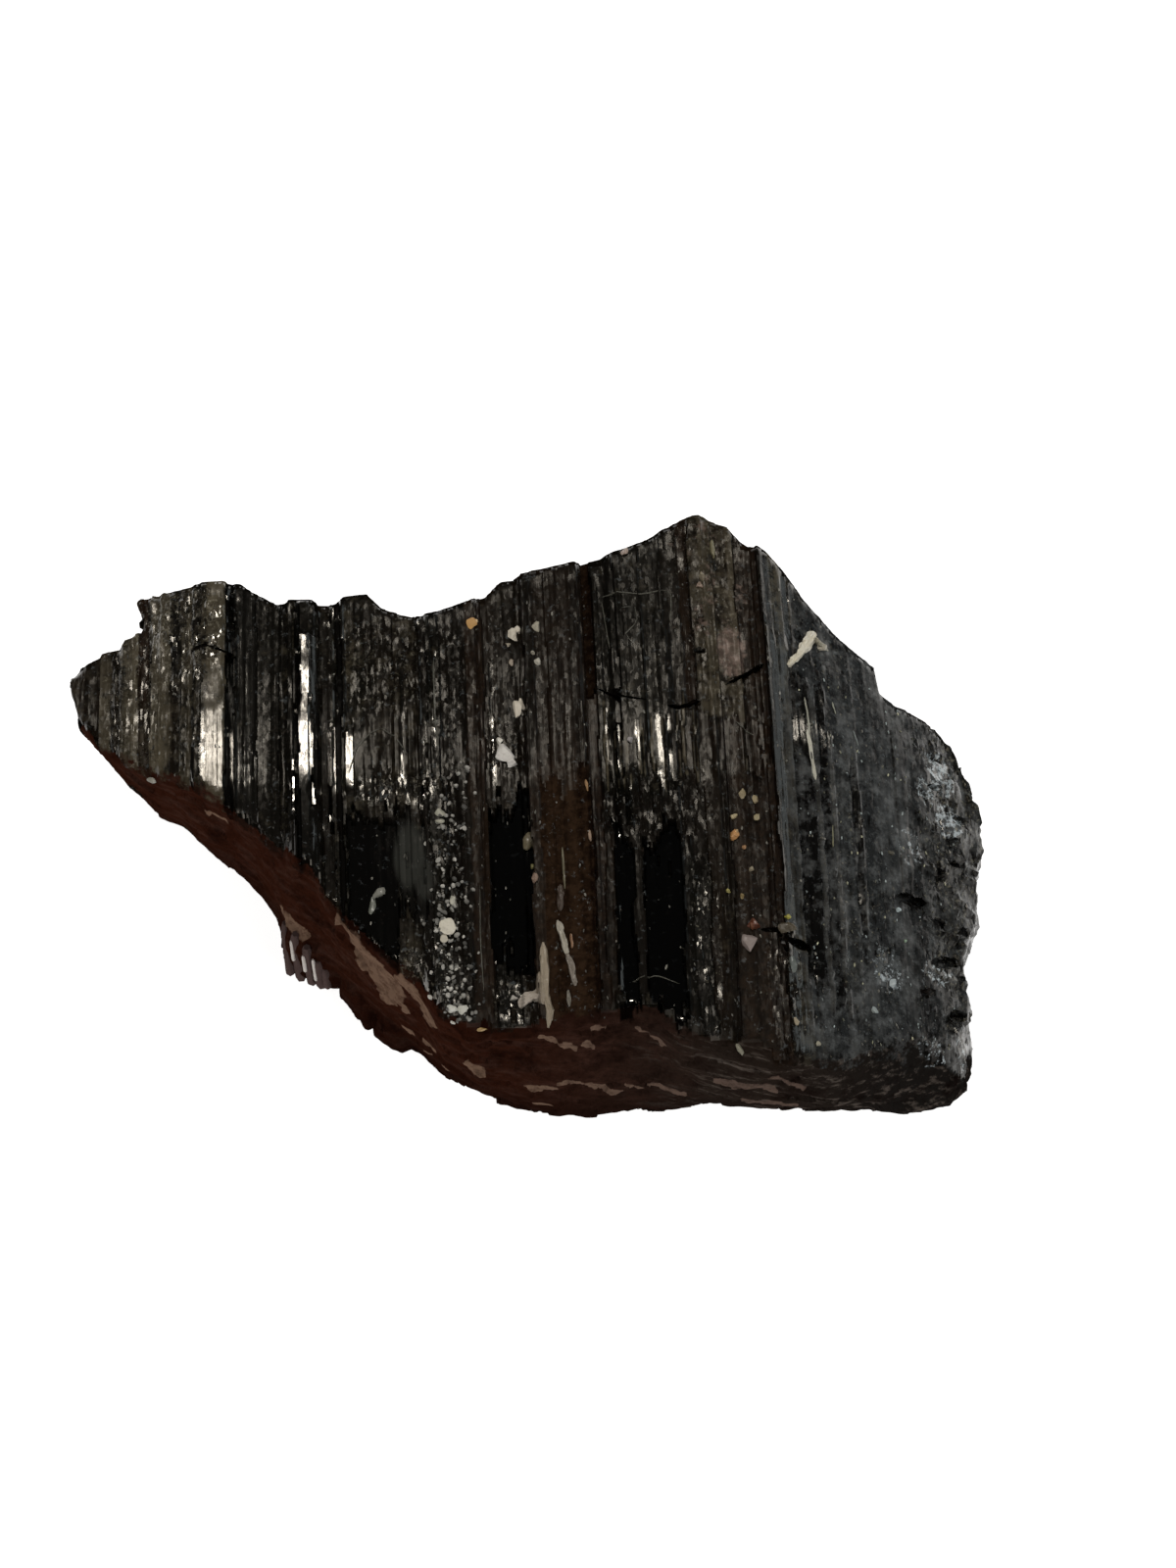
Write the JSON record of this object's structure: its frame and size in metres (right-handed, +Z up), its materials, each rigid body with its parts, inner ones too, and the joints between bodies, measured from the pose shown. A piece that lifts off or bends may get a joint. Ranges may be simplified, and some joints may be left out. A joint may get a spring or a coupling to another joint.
{
  "type": "tourmaline crystal",
  "caption": "Rough black tourmaline fragment: a thick wedge with a striated top, a granular near break and a flat underside it rests on.",
  "frame": {"origin": "the middle of the bounding box in X and Y, at the level of the flat underside", "axes": "+X along the stone's longest side, from the tapered end to the blocky end; +Y along the crystal's flutes, away from the granular near break; +Z up from the flat underside to the striated top"},
  "size_m": [0.0707, 0.046, 0.023],
  "materials": {
    "black_tourmaline": "glassy to satin black, striated along the crystal's long axis"
  },
  "bodies": {
    "root": {"tourmaline_crystal": "black_tourmaline"}
  },
  "joints": []
}
